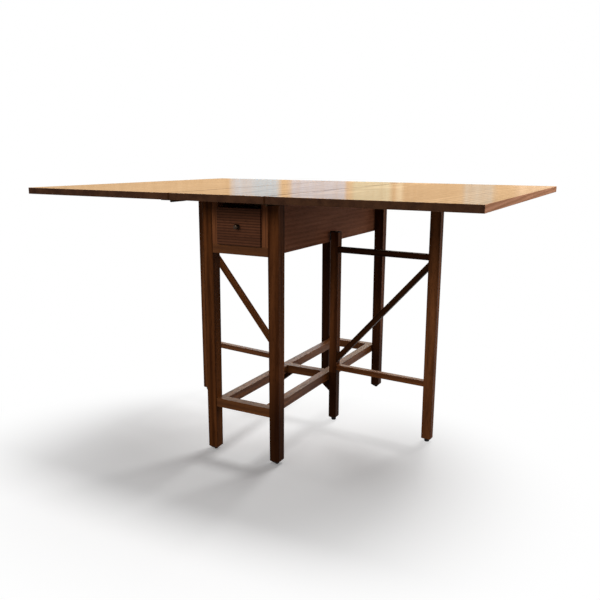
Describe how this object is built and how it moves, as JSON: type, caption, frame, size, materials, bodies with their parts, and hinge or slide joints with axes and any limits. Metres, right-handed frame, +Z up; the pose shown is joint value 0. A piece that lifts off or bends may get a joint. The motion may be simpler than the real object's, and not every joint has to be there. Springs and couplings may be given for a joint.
{
  "type": "gateleg drop-leaf table",
  "caption": "Gateleg drop-leaf table: glossy honey-coloured top with hinged leaves on swing-out gates, square dark legs, low stretchers and a small end drawer with a round knob.",
  "frame": {"origin": "on the floor under the middle of the top", "axes": "+X from the left leaf to the right leaf, seen from the drawer end; the drawer opens towards -Y; +Z up"},
  "size_m": [1.3124, 0.971, 0.7366],
  "materials": {
    "honey_top": "clear gloss lacquer over honey-coloured veneer",
    "dark_walnut": "dark brown stain under satin lacquer",
    "red_walnut": "reddish dark brown stain under satin lacquer",
    "pale_wood": "bare planed wood",
    "hinge_brass": "dulled brass",
    "plain_steel": "plain steel",
    "bronze_knob": "dark bronzed brass",
    "black_glide": "matt black"
  },
  "bodies": {
    "frame": {"apron_left": "red_walnut", "apron_right": "red_walnut", "back_panel": "red_walnut", "back_rail": "dark_walnut", "bracket_screws": "plain_steel", "centre_hinge_plates": "hinge_brass", "centre_hinge_screws": "plain_steel", "drawer_kickers": "dark_walnut", "drawer_rail": "dark_walnut", "drawer_runners": "pale_wood", "drawer_stop": "pale_wood", "gate_pivot_brackets": "plain_steel", "gate_pivot_pins": "plain_steel", "gate_washers": "plain_steel", "gusset_left": "dark_walnut", "gusset_right": "dark_walnut", "hinge_pins": "hinge_brass", "leg_back_left": "dark_walnut", "leg_back_right": "dark_walnut", "leg_front_left": "dark_walnut", "leg_front_right": "dark_walnut", "leg_glides": "black_glide", "leg_screws": "plain_steel", "stretcher_back": "dark_walnut", "stretcher_front": "dark_walnut", "stretcher_left": "dark_walnut", "stretcher_middle": "dark_walnut", "stretcher_right": "dark_walnut", "stub_leg_left": "dark_walnut", "stub_leg_right": "dark_walnut", "top_centre": "honey_top", "top_screws": "plain_steel", "top_ties": "dark_walnut"},
    "left_gate": {"gate_left_post": "dark_walnut", "gate_left_leg": "dark_walnut", "gate_left_upper_rail": "dark_walnut", "gate_left_lower_rail": "dark_walnut", "gate_left_brace": "dark_walnut", "gate_left_glide": "black_glide"},
    "right_gate": {"gate_right_post": "dark_walnut", "gate_right_leg": "dark_walnut", "gate_right_upper_rail": "dark_walnut", "gate_right_lower_rail": "dark_walnut", "gate_right_brace": "dark_walnut", "gate_right_glide": "black_glide"},
    "left_leaf": {"leaf_left": "honey_top", "leaf_left_hinge_plates": "hinge_brass", "leaf_left_hinge_screws": "plain_steel", "leaf_left_gate_stop": "pale_wood"},
    "right_leaf": {"leaf_right": "honey_top", "leaf_right_hinge_plates": "hinge_brass", "leaf_right_hinge_screws": "plain_steel", "leaf_right_gate_stop": "pale_wood"},
    "drawer": {"drawer_front": "red_walnut", "drawer_side_left": "pale_wood", "drawer_side_right": "pale_wood", "drawer_back": "pale_wood", "drawer_bottom": "pale_wood", "knob": "bronze_knob", "knob_screw": "plain_steel"}
  },
  "joints": [
    {"name": "drawer_slide", "type": "slide", "parent": "frame", "child": "drawer", "axis": [0, -1, 0], "range_m": [0, 0.28]},
    {"name": "right_gate_fold", "type": "hinge", "parent": "frame", "child": "right_gate", "pos_m": [0.102, 0, 0], "axis": [0, 0, 1], "range_deg": [0, 93]},
    {"name": "left_gate_fold", "type": "hinge", "parent": "frame", "child": "left_gate", "pos_m": [-0.102, 0, 0], "axis": [0, 0, 1], "range_deg": [0, 96.4]},
    {"name": "right_leaf_lift", "type": "hinge", "parent": "frame", "child": "right_leaf", "pos_m": [0.1426, 0, 0.7152], "axis": [0, -1, 0], "range_deg": [0, 2.5]},
    {"name": "left_leaf_lift", "type": "hinge", "parent": "frame", "child": "left_leaf", "pos_m": [-0.1426, 0, 0.7152], "axis": [0, 1, 0], "range_deg": [0, 2.5]}
  ]
}
